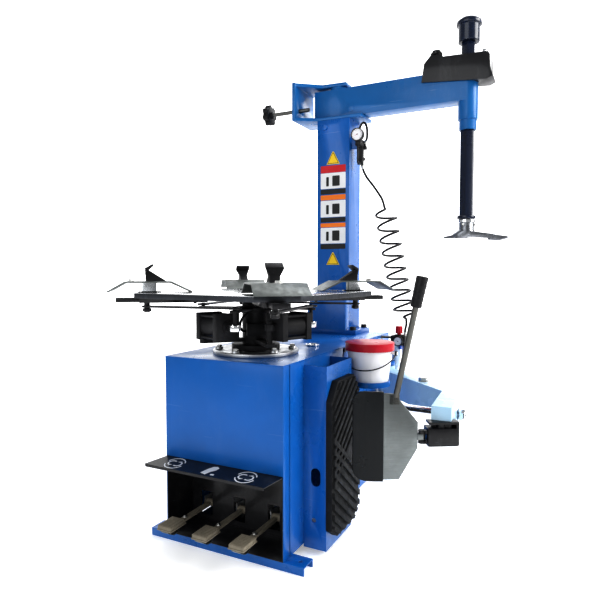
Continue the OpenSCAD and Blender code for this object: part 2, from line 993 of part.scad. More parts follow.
module pail_holder() {
    color([0.30, 0.48, 0.70]) {
        difference() {
            post(pail_at, 71, pail_z - 10, pail_z + 8);
            post(pail_at, 67.5, pail_z - 6, pail_z + 10);
        }
        block(half_w, pail_at[0] - 60, pail_at[1] - 40, pail_at[1] + 40, pail_z - 10, pail_z - 6);
        block(half_w, half_w + 4, pail_at[1] - 40, pail_at[1] + 40, pail_z - 50, pail_z - 6);
        block(half_w, pail_at[0] - 60, pail_at[1] - 40, pail_at[1] - 36, pail_z - 30, pail_z - 6);
    }
    color([0.05, 0.05, 0.06]) {
        block(half_w + 4, half_w + 20, pail_at[1] - 28, pail_at[1] + 28, pail_z - 46, pail_z - 30);
        for (side = [-1, 1])
            along_x([half_w + 20, pail_at[1] + side * 18, pail_z - 38], 6, 8);
    }
}

module pail() {
    translate([pail_at[0], pail_at[1], pail_z - 5.7]) {
        color([0.95, 0.93, 0.95])
            difference() {
                cylinder(r1 = 63, r2 = 80, h = pail_h - 6, $fn = 72);
                translate([0, 0, 3])
                    cylinder(r1 = 60.5, r2 = 77.5, h = pail_h - 8, $fn = 72);
            }
        color([0.80, 0.06, 0.12]) {
            difference() {
                translate([0, 0, pail_h - 26])
                    cylinder(r = 84, h = 26, $fn = 72);
                translate([0, 0, pail_h - 28])
                    cylinder(r = 79, h = 25, $fn = 72);
            }
            for (side = [-1, 1])
                along_x([side * 86 - 12, 0, pail_h - 34], 5, 24);
        }
    }
}

module pail_bail() {
    color([0.10, 0.10, 0.12])
        translate([pail_at[0], pail_at[1], pail_z + pail_h - 39.7])
            rotate([35, 0, 0])
                difference() {
                    union() {
                        intersection() {
                            rotate_extrude($fn = 72)
                                translate([94, 0])
                                    circle(r = 2, $fn = 16);
                            block(-100, 100, -100, 0, -5, 5);
                        }
                        for (side = [-1, 1])
                            along_x([side * 94 - 3, 0, 0], 8, 6);
                    }
                    for (side = [-1, 1])
                        along_x([side * 94 - 10, 0, 0], 5 + gap, 20);
                }
}

// ---- air unit, inflator gun and hoses ----

module air_unit() {
    x = unit_at[0];
    y = unit_at[1];
    color([0.75, 0.76, 0.78])
        block(half_w, x - 20, y - 16, y + 16, 588, 594);
    color([0.20, 0.24, 0.30]) {
        difference() {
            block(x - 30, x + 30, y - 20, y + 20, 560, 600);
            along_x([x + 14, y, 580], 6, 17);
            post([x, y], 8 + gap, 596, 610);
        }
        post([x, y], 19, 598, 604);
        post([x + 10, y - 16], 8, 545, 561);
    }
    color([0.55, 0.62, 0.70]) {
        post([x - 12, y], 17, 470, 561);
        post([x - 12, y], 10, 441, 471);
    }
    color([0.10, 0.25, 0.60])
        post([x + 22, y + 6], 9, 500, 561);
    color([0.85, 0.85, 0.86])
        difference() {
            along_y([x + 6, y - 40, 580], 20, 22);
            along_y([x + 6, y - 41, 580], 17, 4);
        }
}

module regulator_knob() {
    color([0.75, 0.06, 0.08]) {
        post(unit_at, 8, 604, 612);
        post(unit_at, 14, 610, 640);
        for (i = [0 : 11])
            post(unit_at + polar(13.5, i * 30), 2, 612, 636);
    }
}

module inflator_gun() {
    x = gun_at[0];
    y = gun_at[1];
    color([0.09, 0.09, 0.10]) {
        block(x - 9, x + 13, y - 30, y - 6, 1352, 1404);
        post([x + 2, y - 18], 13, 1330, 1356);
        block(x - 8, x + 14, y - 56, y - 7, 1404, 1432);
        for (ear = [x - 5, x + 7])
            block(ear, ear + 2, y - 7, y, 1386, 1394);
        along_x([x - 5, y - 2, 1390], 1.5, 14);
        difference() {
            block(x + 2, x + 8, y - 62, y - 18, 1330, 1406);
            block(x + 1, x + 9, y - 57, y - 22, 1336, 1400);
        }
    }
    color([0.75, 0.76, 0.78]) {
        difference() {
            along_y([x + 3, y - 66, 1448], 27, 20);
            along_y([x + 3, y - 67, 1448], 24, 4);
        }
        post([x + 4, y], 6, 1326, 1352);
        post([x + 14, y], 6, 1404, 1420);
        block(x - 4, x + 22, y - 9, y + 9, 1396, 1410);
        block(x - 4, x + 14, y - 9, y + 9, 1350, 1362);
    }
}

module gun_trigger() {
    x = gun_at[0];
    y = gun_at[1];
    color([0.70, 0.71, 0.73]) {
        difference() {
            union() {
                block(x - 2, x + 6, y - 1, y + 6, 1364, 1392);
                along_x([x - 2, y - 2, 1390], 3.5, 8);
            }
            along_x([x - 3, y - 2, 1390], 1.5 + gap, 10);
        }
    }
}

// Vectors for a tube swept along a list of points
function unit(v) = v / norm(v);
function tangent(p, i) =
    unit(p[min(i + 1, len(p) - 1)] - p[max(i - 1, 0)]);
function side_of(t) = unit(cross(t, abs(t[0]) < 0.9 ? [1, 0, 0] : [0, 1, 0]));
function ring(p, i, r, n) =
    let (t = tangent(p, i), u = side_of(t), v = cross(t, u))
    [for (k = [0 : n - 1]) p[i] + r * (cos(k * 360 / n) * u + sin(k * 360 / n) * v)];

module tube(p, r, n = 10) {
    m = len(p);
    pts = [for (i = [0 : m - 1]) each ring(p, i, r, n)];
    walls = [for (i = [0 : m - 2]) for (k = [0 : n - 1])
        [i * n + k, i * n + (k + 1) % n, (i + 1) * n + (k + 1) % n, (i + 1) * n + k]];
    first = [for (k = [n - 1 : -1 : 0]) k];
    last = [for (k = [0 : n - 1]) (m - 1) * n + k];
    polyhedron(points = pts, faces = concat([first], walls, [last]), convexity = 6);
}

coil_rings = 24;
function coil_point(s) = let (sag = 22 * sin(180 * s))
    coil_low + s * (coil_high - coil_low) + [0, 0, -sag];

module hose_coil() {
    color([0.07, 0.07, 0.08])
        tube([for (i = [0 : coil_rings]) coil_point(i / coil_rings)], 35, 12);
}

module hose_leads() {
    color([0.07, 0.07, 0.08]) {
        tube(air_hose_low, 4, 8);
        tube(air_hose_high, 4, 8);
    }
}

module gun_hose() {
    color([0.07, 0.07, 0.08])
        tube(gun_loop, 4, 8);
}

base_channels();
cabinet_shell();
front_panel();
pedal_recess();
abutment_bracket();
abutment_pad();
gearbox();
motor();
motor_pulley();
gearbox_pulley();
drive_belt();
valve_block();
pedal_left();
pedal_middle();
pedal_right();
column();
column_foot();
arm_bracket();
stop_knob();
swing_arm();
lock_housing();
lock_knob();
hex_shaft();
shaft_cap();
mount_head();
turntable();
table_hub();
spider();
slide_1();
slide_2();
slide_3();
slide_4();
jaw_1();
jaw_2();
jaw_3();
jaw_4();
link_1();
link_2();
link_3();
link_4();
clamp_cylinder_1();
clamp_cylinder_2();
clamp_rod_1();
clamp_rod_2();
breaker_cylinder();
breaker_rod();
breaker_arm();
breaker_blade();
blade_cover();
blade_lever();
pail_holder();
pail();
pail_bail();
air_unit();
regulator_knob();
inflator_gun();
gun_trigger();
gun_hose();
hose_coil();
hose_leads();
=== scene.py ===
"""Looks of the tyre changer: camera, hoses, softened shells, small parts, materials and studio."""
import json
import math

import bmesh
import bpy
from mathutils import Matrix, Vector


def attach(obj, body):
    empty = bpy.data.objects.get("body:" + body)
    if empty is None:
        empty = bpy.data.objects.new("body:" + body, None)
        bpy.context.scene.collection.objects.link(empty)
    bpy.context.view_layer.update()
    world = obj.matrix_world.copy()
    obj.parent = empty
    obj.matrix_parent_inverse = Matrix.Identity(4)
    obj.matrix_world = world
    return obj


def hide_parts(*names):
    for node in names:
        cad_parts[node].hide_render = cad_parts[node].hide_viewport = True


MM = 0.001
CAB_D = 0.980  # depth of the cabinet


def back(d):
    """Y of a point d metres behind the cabinet's front face."""
    return d - CAB_D / 2


TABLE_AXIS = Vector((0, back(0.203), 0))
TABLE_TURN = math.radians(40)  # of the first jaw from +X
BLADE_PIN = (0.552, back(0.249))
BLADE_TURN = math.radians(29.3)
SHAFT_AXIS = Vector((0.554, back(0.915), 0))
BREAKER_HINGE = (0.255, back(0.830))
PEDALS = {"left": -0.150, "middle": -0.020, "right": 0.110}
FOIL = 0.0004  # thickness of printed marks


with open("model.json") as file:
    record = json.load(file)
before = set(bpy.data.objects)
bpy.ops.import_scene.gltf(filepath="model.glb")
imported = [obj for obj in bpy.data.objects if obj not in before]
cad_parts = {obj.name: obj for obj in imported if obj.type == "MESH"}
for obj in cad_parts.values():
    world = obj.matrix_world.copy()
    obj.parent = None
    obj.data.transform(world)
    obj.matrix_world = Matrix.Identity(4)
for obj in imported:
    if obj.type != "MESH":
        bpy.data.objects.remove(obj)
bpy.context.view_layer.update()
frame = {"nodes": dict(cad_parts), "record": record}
scene = bpy.context.scene


# ---- camera ----

cam = bpy.data.objects.new("camera", bpy.data.cameras.new("camera"))
scene.collection.objects.link(cam)
cam.location = (0.9525, -1.8463, 0.8657)
cam.rotation_euler = (math.radians(90 - 2.87), 0, math.radians(26.78))
cam.data.sensor_width = 36
cam.data.lens = 32.78
scene.camera = cam


# ---- materials ----

class Nodes:
    """A short way to write node trees."""

    def __init__(self, name):
        self.mat = bpy.data.materials.new(name)
        self.mat.use_nodes = True
        self.tree = self.mat.node_tree
        self.bsdf = self.tree.nodes["Principled BSDF"]
        self.coords = self.add("ShaderNodeTexCoord").outputs["Object"]

    def add(self, kind, **values):
        node = self.tree.nodes.new(kind)
        for key, value in values.items():
            setattr(node, key, value)
        return node

    def link(self, a, b):
        self.tree.links.new(a, b)

    def scaled(self, scale):
        node = self.add("ShaderNodeMapping")
        node.inputs["Scale"].default_value = scale
        self.link(self.coords, node.inputs["Vector"])
        return node.outputs["Vector"]

    def noise(self, scale, detail=4, rough=0.55, stretch=(1, 1, 1)):
        node = self.add("ShaderNodeTexNoise")
        node.inputs["Scale"].default_value = scale
        node.inputs["Detail"].default_value = detail
        node.inputs["Roughness"].default_value = rough
        self.link(self.scaled(stretch), node.inputs["Vector"])
        return node.outputs["Fac"]

    def voronoi(self, scale, stretch=(1, 1, 1)):
        node = self.add("ShaderNodeTexVoronoi")
        node.inputs["Scale"].default_value = scale
        self.link(self.scaled(stretch), node.inputs["Vector"])
        return node.outputs["Distance"]

    def ramp(self, fac, stops):
        """stops is a list of (position, colour)."""
        node = self.add("ShaderNodeValToRGB")
        elements = node.color_ramp.elements
        while len(elements) < len(stops):
            elements.new(0.5)
        for element, (position, colour) in zip(elements, stops):
            element.position = position
            element.color = (*colour, 1) if len(colour) == 3 else colour
        self.link(fac, node.inputs["Fac"])
        return node.outputs["Color"]

    def grey_ramp(self, fac, low, high, start=0.3, end=0.7):
        return self.ramp(fac, [(start, (low,) * 3), (end, (high,) * 3)])

    def mix(self, fac, a, b, blend="MIX"):
        node = self.add("ShaderNodeMix", data_type="RGBA", blend_type=blend)
        for value, socket in ((fac, node.inputs[0]), (a, node.inputs[6]), (b, node.inputs[7])):
            if hasattr(value, "is_output"):
                self.link(value, socket)
            elif isinstance(value, (int, float)):
                socket.default_value = value
            else:
                socket.default_value = (*value, 1)
        return node.outputs[2]

    def bump(self, height, strength, distance, normal=None):
        node = self.add("ShaderNodeBump")
        node.inputs["Strength"].default_value = strength
        node.inputs["Distance"].default_value = distance
        self.link(height, node.inputs["Height"])
        if normal is not None:
            self.link(normal, node.inputs["Normal"])
        return node.outputs["Normal"]

    def set(self, **sockets):
        for name, value in sockets.items():
            socket = self.bsdf.inputs[name.replace("_", " ")]
            if hasattr(value, "is_output"):
                self.link(value, socket)
            elif isinstance(value, tuple) and len(value) == 3 and name == "Base_Color":
                socket.default_value = (*value, 1)
            else:
                socket.default_value = value


def shade(colour, k):
    """A colour made lighter or darker by a factor."""
    return tuple(min(1.0, c * k) for c in colour)


def paint(name, colour, rough=0.28, coat=0.3, dust=0.07, peel=0.35):
    """Sprayed enamel: orange peel, faint dust and hairline scuffs."""
    n = Nodes(name)
    cloud = n.noise(3.2, 5, 0.6)
    base = n.mix(n.grey_ramp(cloud, 0.0, 1.0), shade(colour, 0.90), shade(colour, 1.10))
    grime = n.grey_ramp(n.noise(14, 6, 0.7, (1, 1, 0.35)), 0.0, dust, 0.52, 0.80)
    base = n.mix(grime, base, (0.42, 0.44, 0.46))
    scuff = n.grey_ramp(n.noise(38, 3, 0.5, (0.15, 1, 5.0)), 0.0, dust * 1.3, 0.70, 0.74)
    base = n.mix(scuff, base, (0.55, 0.62, 0.70))
    n.set(Base_Color=base, Coat_Weight=coat, Coat_Roughness=0.12, Specular_IOR_Level=0.3)
    n.set(Roughness=n.grey_ramp(n.noise(9, 5), rough * 0.85, rough * 1.35))
    n.set(Normal=n.bump(n.noise(420, 2, 0.5), peel * 0.35, 0.0006))
    return n.mat


def metal(name, colour, rough=0.3, brush=(1, 1, 1), stain=0.15, grain=0.3, rust=0.0):
    """Bare metal: brushed grain, tonal stains and fine scratches."""
    n = Nodes(name)
    base = n.mix(n.grey_ramp(n.noise(6, 6, 0.65), 0, 1), shade(colour, 1 - stain),
                 shade(colour, 1.05))
    streak = n.noise(60, 4, 0.6, brush)
    base = n.mix(n.grey_ramp(streak, 0.0, 0.35), base, shade(colour, 0.72))
    if rust:
        spots = n.grey_ramp(n.noise(34, 7, 0.75), 0.0, rust, 0.56, 0.70)
        base = n.mix(spots, base, (0.17, 0.085, 0.04))
    n.set(Base_Color=base, Metallic=1.0)
    n.set(Roughness=n.grey_ramp(streak, rough * 0.75, rough * 1.4))
    n.set(Normal=n.bump(streak, grain, 0.0005))
    return n.mat


def cast(name, colour, rough=0.6, metallic=0.0, bumpiness=0.5, scale=260):
    """Sand-cast or powder-coated surface."""
    n = Nodes(name)
    base = n.mix(n.grey_ramp(n.noise(11, 6, 0.7), 0, 1), shade(colour, 0.75), shade(colour, 1.25))
    worn = n.grey_ramp(n.noise(26, 8, 0.75), 0.0, 0.35, 0.58, 0.75)
    base = n.mix(worn, base, shade(colour, 1.9))
    n.set(Base_Color=base, Metallic=metallic, Specular_IOR_Level=0.25)
    n.set(Roughness=n.grey_ramp(n.noise(18, 5), rough * 0.8, min(1, rough * 1.25)))
    n.set(Normal=n.bump(n.noise(scale, 4, 0.65), bumpiness, 0.0008))
    return n.mat


def rubber(name, colour, rough=0.7):
    """Matt rubber with a fine grain and a little chalking."""
    n = Nodes(name)
    base = n.mix(n.grey_ramp(n.noise(7, 5, 0.6), 0, 1), shade(colour, 0.7), shade(colour, 1.35))
    chalk = n.grey_ramp(n.noise(24, 6, 0.7), 0.0, 0.22, 0.55, 0.85)
    base = n.mix(chalk, base, (0.11, 0.11, 0.11))
    n.set(Base_Color=base, Specular_IOR_Level=0.22)
    n.set(Roughness=n.grey_ramp(n.noise(30, 4), rough * 0.8, rough * 1.2))
    n.set(Normal=n.bump(n.voronoi(700), 0.25, 0.0006))
    return n.mat


def plastic(name, colour, rough=0.35, grain=0.25):
    """Moulded plastic or vinyl with a fine grain and smudges."""
    n = Nodes(name)
    base = n.mix(n.grey_ramp(n.noise(5, 4, 0.6), 0, 1), shade(colour, 0.92), shade(colour, 1.06))
    smudge = n.grey_ramp(n.noise(19, 6, 0.7), 0.0, 0.10, 0.55, 0.85)
    base = n.mix(smudge, base, shade((0.42, 0.42, 0.42), 0.15 + 0.85 * max(colour)))
    n.set(Base_Color=base, Specular_IOR_Level=0.3)
    n.set(Roughness=n.grey_ramp(n.noise(12, 4), rough * 0.8, rough * 1.3))
    n.set(Normal=n.bump(n.voronoi(900), grain, 0.0003))
    return n.mat


BLUE = (0.004, 0.120, 0.40)
M = {
    "blue": paint("blue_enamel", BLUE),
    "panel": paint("panel_enamel", (0.004, 0.122, 0.40), rough=0.34, coat=0.2, dust=0.03),
    "arm_blue": paint("arm_enamel", (0.006, 0.125, 0.34), rough=0.3, coat=0.25),
    # breaker arm: the machine's blue lightened to a pale blue, a painted glare for strong light
    # washing out its top and side; only the dust in it is real
    "arm_painted_glare": paint("breaker_enamel_painted_glare", (0.42, 0.60, 0.74), rough=0.25, dust=0.14),
    "dark_blue": paint("dark_blue_enamel", (0.004, 0.010, 0.030), rough=0.25, coat=0.5, dust=0.06),
    "motor": paint("motor_enamel", (0.02, 0.06, 0.12), rough=0.45, coat=0.1, peel=1.2),
    "black": paint("black_enamel", (0.010, 0.010, 0.012), rough=0.32, coat=0.3, dust=0.07),
    "cast_black": cast("cast_black", (0.018, 0.018, 0.020), 0.5),
    "cast_grey": cast("cast_grey", (0.30, 0.31, 0.32), 0.55, 0.6),
    "rubber": rubber("pad_rubber", (0.012, 0.013, 0.015)),
    "hose": rubber("hose_rubber", (0.010, 0.010, 0.012), 0.35),
    "table": metal("table_steel", (0.80, 0.81, 0.82), 0.20, (1, 1, 1), 0.10, 0.15),
    "jaw": metal("jaw_steel", (0.20, 0.215, 0.21), 0.40, (1, 1, 1), 0.25, 0.3, 0.04),
    "edge": metal("edge_steel", (0.075, 0.08, 0.09), 0.45, (1, 1, 0.3), 0.25, 0.3, 0.06),
    "blade": metal("blade_steel", (0.25, 0.27, 0.27), 0.36, (0.3, 0.3, 4), 0.25, 0.3, 0.10),
    "rod": metal("rod_chrome", (0.82, 0.83, 0.85), 0.12, (1, 1, 1), 0.05, 0.05),
    "steel": metal("plain_steel", (0.55, 0.55, 0.56), 0.30, (1, 1, 1), 0.2, 0.2, 0.08),
    "bolt": metal("zinc_plated", (0.62, 0.62, 0.60), 0.28, (1, 1, 1), 0.2, 0.1, 0.05),
    "lever": metal("lever_steel", (0.16, 0.16, 0.15), 0.38, (3, 3, 0.3), 0.3, 0.2, 0.12),
    "head": metal("head_steel", (0.26, 0.27, 0.29), 0.26, (1, 1, 1), 0.2, 0.15),
    "alu": metal("aluminium", (0.58, 0.59, 0.60), 0.34, (1, 1, 1), 0.15, 0.2),
    "black_plastic": plastic("black_plastic", (0.012, 0.012, 0.014), 0.38),
    "cover": plastic("cover_plastic", (0.009, 0.011, 0.013), 0.30, 0.5),
    "white": plastic("white_plastic", (0.86, 0.85, 0.87), 0.30, 0.1),
    "red": plastic("red_plastic", (0.46, 0.010, 0.028), 0.30, 0.1),
    "blue_plastic": plastic("blue_plastic", (0.03, 0.10, 0.42), 0.25, 0.1),
    "tread": cast("tread_coating", (0.24, 0.215, 0.17), 0.7, 0.0, 0.8),
    "yellow": plastic("yellow_vinyl", (0.80, 0.56, 0.02), 0.35, 0.05),
    "label_white": plastic("white_vinyl", (0.78, 0.78, 0.78), 0.4, 0.05),
    "label_red": plastic("red_vinyl", (0.55, 0.02, 0.03), 0.4, 0.05),
    "label_orange": plastic("orange_vinyl", (0.80, 0.22, 0.02), 0.4, 0.05),
    "ink": plastic("black_vinyl", (0.02, 0.02, 0.02), 0.4, 0.05),
    "bowl": plastic("bowl_plastic", (0.45, 0.55, 0.66), 0.12, 0.02),
}


# ---- pieces ----

SHARP_EDGE = math.radians(35)


def node_body(node):
    """The body that holds a CAD node."""
    for body, members in frame["record"]["behaviour"]["bodies"].items():
        if node in members:
            return body


def finish_piece(obj, material, body):
    """Material, shading and the body it moves with."""
    obj.data.materials.clear()
    obj.data.materials.append(M[material])
    for polygon in obj.data.polygons:
        polygon.use_smooth = True
    obj.data.set_sharp_from_angle(angle=SHARP_EDGE)
    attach(obj, body)
    return obj


def new_object(name, bm, material, body):
    """A piece made from a bmesh, which is freed."""
    mesh = bpy.data.meshes.new(name)
    bm.to_mesh(mesh)
    bm.free()
    obj = bpy.data.objects.new(name, mesh)
    scene.collection.objects.link(obj)
    return finish_piece(obj, material, body)


def apply_modifiers(obj):
    """Leaves the mesh that the modifiers give, and no modifiers."""
    depsgraph = bpy.context.evaluated_depsgraph_get()
    mesh = bpy.data.meshes.new_from_object(obj.evaluated_get(depsgraph))
    obj.modifiers.clear()
    obj.data = mesh


def soften(node, material, width, segments=2):
    """A copy of a CAD node with its edges rounded by width mm, which is shown in its place."""
    source = frame["nodes"][node]
    bm = bmesh.new()
    bm.from_mesh(source.data)
    bmesh.ops.remove_doubles(bm, verts=bm.verts, dist=2e-5)
    bmesh.ops.dissolve_limit(bm, angle_limit=math.radians(0.8), verts=bm.verts, edges=bm.edges)
    mesh = bpy.data.meshes.new(node + "_look")
    bm.to_mesh(mesh)
    bm.free()
    obj = bpy.data.objects.new(mesh.name, mesh)
    scene.collection.objects.link(obj)
    if width:
        bevel = obj.modifiers.new("bevel", "BEVEL")
        bevel.width = width * MM
        bevel.segments = segments
        bevel.limit_method = "ANGLE"
        bevel.angle_limit = math.radians(32)
        bevel.harden_normals = False
        apply_modifiers(obj)
    finish_piece(obj, material, node_body(node))
    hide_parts(node)
    return obj


def paint_faces(obj, material, test):
    """Faces of a piece whose centre passes the test take another material."""
    obj.data.materials.append(M[material])
    index = len(obj.data.materials) - 1
    for polygon in obj.data.polygons:
        if test(polygon.center):
            polygon.material_index = index


def lathe(profile, segments=48):
    """A closed form turned about Z from (radius, height) points."""
    bm = bmesh.new()
    rings = []
    for radius, z in profile:
        if radius < 1e-6:
            rings.append([bm.verts.new((0, 0, z))])
        else:
            rings.append([bm.verts.new((radius * math.cos(a), radius * math.sin(a), z))
                          for a in (2 * math.pi * k / segments for k in range(segments))])
    for a, b in zip(rings, rings[1:]):
        for k in range(segments):
            quad = [a[k % len(a)], a[(k + 1) % len(a)], b[(k + 1) % len(b)], b[k % len(b)]]
            unique = list(dict.fromkeys(quad))
            if len(unique) >= 3:
                bm.faces.new(unique)
    bmesh.ops.recalc_face_normals(bm, faces=bm.faces)
    return bm


def placed(bm, at, direction=(0, 0, 1), spin=0.0):
    """Turns a form from +Z to a direction, and moves it."""
    turn = Vector((0, 0, 1)).rotation_difference(Vector(direction)).to_matrix().to_4x4()
    matrix = Matrix.Translation(Vector(at)) @ turn @ Matrix.Rotation(spin, 4, "Z")
    bmesh.ops.transform(bm, matrix=matrix, verts=bm.verts)
    return bm


def bolt_head(name, at, direction, body, across=0.017, material="bolt", washer=True):
    """Hexagon head with a chamfered crown on a washer."""
    r = across / 2 / math.cos(math.pi / 6)
    h = 0.42 * across
    bm = lathe([(0, 0), (r, 0), (r, 0.82 * h), (0.86 * r, h), (0, h)], 6)
    if washer:
        ring = lathe([(0, -0.0012), (1.32 * r, -0.0012), (1.36 * r, -0.0004),
                      (1.30 * r, 0.0006), (0, 0.0006)], 32)
        mesh = bpy.data.meshes.new("tmp")
        ring.to_mesh(mesh)
        ring.free()
        bm.from_mesh(mesh)
        bpy.data.meshes.remove(mesh)
    return new_object(name, placed(bm, at, direction, 0.3), material, body)


def plate(name, points, thickness, material, body, matrix):
    """A flat piece from an outline in its own XY plane, set in place by a matrix."""
    bm = bmesh.new()
    face = bm.faces.new([bm.verts.new((x, y, 0)) for x, y in points])
    up = bmesh.ops.extrude_face_region(bm, geom=[face])
    moved = [v for v in up["geom"] if isinstance(v, bmesh.types.BMVert)]
    bmesh.ops.translate(bm, vec=(0, 0, thickness), verts=moved)
    bmesh.ops.recalc_face_normals(bm, faces=bm.faces)
    bmesh.ops.transform(bm, matrix=matrix, verts=bm.verts)
    return new_object(name, bm, material, body)


def rounded_rect(w, h, r, steps=5):
    """Outline of a rectangle about the origin, with round corners."""
    points = []
    for cx, cy, start in ((w / 2 - r, h / 2 - r, 0), (r - w / 2, h / 2 - r, 90),
                          (r - w / 2, r - h / 2, 180), (w / 2 - r, r - h / 2, 270)):
        for k in range(steps + 1):
            a = math.radians(start + 90 * k / steps)
            points.append((cx + r * math.cos(a), cy + r * math.sin(a)))
    return points


def pipe(name, points, radius, material, body):
    """A smooth tube along points, as a mesh."""
    curve = bpy.data.curves.new(name, "CURVE")
    curve.dimensions = "3D"
    curve.bevel_depth = radius
    curve.bevel_resolution = 4
    curve.resolution_u = 6
    curve.use_fill_caps = True
    spline = curve.splines.new("NURBS")
    spline.points.add(len(points) - 1)
    for p, co in zip(spline.points, points):
        p.co = (*co, 1)
    spline.order_u = 4
    spline.use_endpoint_u = True
    obj = bpy.data.objects.new(name, curve)
    scene.collection.objects.link(obj)
    mesh = bpy.data.meshes.new_from_object(obj)
    bpy.data.objects.remove(obj)
    bpy.data.curves.remove(curve)
    piece = bpy.data.objects.new(name, mesh)
    scene.collection.objects.link(piece)
    return finish_piece(piece, material, body)


# ---- hoses ----

HOSE_D = 0.0095
COIL_TURNS = 9.5
COIL_R = 0.0420
COIL_LOW = Vector((0.322, 0.402, 0.656))
COIL_HIGH = Vector((0.214, 0.408, 1.163))
COIL_SAG = 0.022
HOSE_START = [(0.314, 0.402, 0.600), (0.314, 0.402, 0.612), (0.315, 0.402, 0.628),
              (0.319, 0.402, 0.644)]
HOSE_END = [(0.206, 0.408, 1.180), (0.190, 0.409, 1.205), (0.165, 0.410, 1.240),
            (0.140, 0.410, 1.272), (0.124, 0.410, 1.300), (0.116, 0.410, 1.326)]
GUN_LOOP = [(0.126, 0.410, 1.420), (0.136, 0.412, 1.446), (0.134, 0.414, 1.490),
            (0.122, 0.416, 1.512), (0.108, 0.416, 1.506), (0.098, 0.416, 1.476),
            (0.096, 0.416, 1.430), (0.098, 0.416, 1.380), (0.106, 0.414, 1.346),
            (0.116, 0.412, 1.332)]


def smooth_path(points, steps=8):
    """Catmull-Rom through the points."""
    p = [Vector(q) for q in points]
    p = [2 * p[0] - p[1]] + p + [2 * p[-1] - p[-2]]
    out = []
    for i in range(1, len(p) - 2):
        for k in range(steps):
            t = k / steps
            a, b, c, d = p[i - 1], p[i], p[i + 1], p[i + 2]
            out.append(0.5 * ((2 * b) + (c - a) * t + (2 * a - 5 * b + 4 * c - d) * t * t
                              + (3 * b - a - 3 * c + d) * t ** 3))
    out.append(p[-2])
    return out


def coil_centre(s):
    """Point on the coil's sagging centre line, s from 0 at its foot to 1 at its top."""
    return COIL_LOW + s * (COIL_HIGH - COIL_LOW) - Vector((0, 0, COIL_SAG * math.sin(math.pi * s)))


def coil_path(per_turn=20):
    """The turns of the coil, which grow from its centre line and shrink back to it."""
    axis = (COIL_HIGH - COIL_LOW).normalized()
    u = axis.cross(Vector((0, 1, 0))).normalized()
    v = axis.cross(u)
    count = int(COIL_TURNS * per_turn)
    margin = 0.035
    points = []
    for k in range(count + 1):
        t = k / count
        s = margin + t * (1 - 2 * margin)
        grow = min(1.0, t * COIL_TURNS / 0.5, (1 - t) * COIL_TURNS / 0.5)
        r = COIL_R * (grow * grow * (3 - 2 * grow))
        a = 2 * math.pi * COIL_TURNS * t
        points.append(coil_centre(s) + r * (math.cos(a) * u + math.sin(a) * v))
    return points


def hose(name, points):
    """A hose along points that already lie close together."""
    curve = bpy.data.curves.new(name, "CURVE")
    curve.dimensions = "3D"
    curve.bevel_depth = HOSE_D / 2
    curve.bevel_resolution = 4
    curve.use_fill_caps = True
    spline = curve.splines.new("POLY")
    spline.points.add(len(points) - 1)
    for p, co in zip(spline.points, points):
        p.co = (*co, 1)
    spline.use_smooth = True
    obj = bpy.data.objects.new(name, curve)
    scene.collection.objects.link(obj)
    curve.materials.append(M["hose"])
    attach(obj, "frame")
    return obj


air_path = smooth_path(HOSE_START + [tuple(coil_centre(0.02))], 4)[:-1] + coil_path()
air_path += smooth_path([tuple(coil_centre(0.98))] + HOSE_END, 5)[1:]
air_hose = hose("air_hose", air_path)
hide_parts("hose_coil", "hose_leads")
gun_path = smooth_path(GUN_LOOP, 4)
gun_hose = hose("gun_loop_hose", gun_path)
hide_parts("gun_hose")


def ferrule(name, at, direction):
    """Crimped sleeve with two grooves, at the end of a hose."""
    outer, groove = 0.0062, 0.0054
    sleeve = lathe([(0, 0), (outer, 0), (outer, 0.003), (groove, 0.004), (outer, 0.005),
                    (outer, 0.008), (groove, 0.009), (outer, 0.010), (outer, 0.0135),
                    (groove, 0.0145), (0, 0.0145)], 24)
    return new_object(name, placed(sleeve, at, direction), "bolt", "frame")


def heading(start, towards):
    """Direction from one listed point to the next."""
    return Vector(towards) - Vector(start)


ferrule("air_hose_low_ferrule", HOSE_START[0], (0, 0, 1))
air_ferrule = ferrule("air_hose_high_ferrule", HOSE_END[-1], heading(HOSE_END[-1], HOSE_END[-2]))
ferrule("gun_hose_top_ferrule", GUN_LOOP[0], heading(GUN_LOOP[0], GUN_LOOP[1]))
gun_ferrule = ferrule("gun_hose_low_ferrule", GUN_LOOP[-1], heading(GUN_LOOP[-1], GUN_LOOP[-2]))


# ---- CAD nodes, softened and painted ----

# heights at which a node's colour changes
FOOT_CAPS = (0.6205, 0.636)
ROOF = 0.5985
LID_RIM = 0.6005
BOWL_TOP = 0.559
GRIP_FOOT = 0.763
PLATE_UNDER = 0.7868
PLATE_EDGE_TOP = 0.8022
JAW_BLOCK = (0.806, 0.8345)
JAW_COVER_TOP = 0.8415
STOP_ROD_X = -0.288  # where the stop knob ends and its rod starts

soften("base_channels", "blue", 0.8)
soften("cabinet_shell", "blue", 1.6)
soften("front_panel", "panel", 1.6)
soften("pedal_recess", "black", 0)
soften("abutment_bracket", "blue", 1.5)
soften("abutment_pad", "rubber", 1.4)
gear = soften("gearbox", "cast_grey", 1.2)
soften("motor", "motor", 2)
soften("motor_pulley", "cast_grey", 0.6)
soften("gearbox_pulley", "cast_grey", 0.6)
soften("drive_belt", "rubber", 0.6)
soften("valve_block", "alu", 1)
soften("column", "blue", 3)
foot = soften("column_foot", "blue", 2)
paint_faces(foot, "black_plastic",
            lambda c: FOOT_CAPS[0] < c.z < FOOT_CAPS[1] and abs(c.x) > 0.085)
soften("arm_bracket", "arm_blue", 2)
soften("swing_arm", "arm_blue", 2.5)
soften("lock_housing", "black", 4, 3)
soften("lock_knob", "black_plastic", 2, 3)
soften("hex_shaft", "dark_blue", 1.5)
soften("shaft_cap", "dark_blue", 3, 3)
soften("mount_head", "head", 0.8)
knob = soften("stop_knob", "black_plastic", 3, 3)
paint_faces(knob, "lever", lambda c: c.x > STOP_ROD_X)
table = soften("turntable", "table", 1.2)
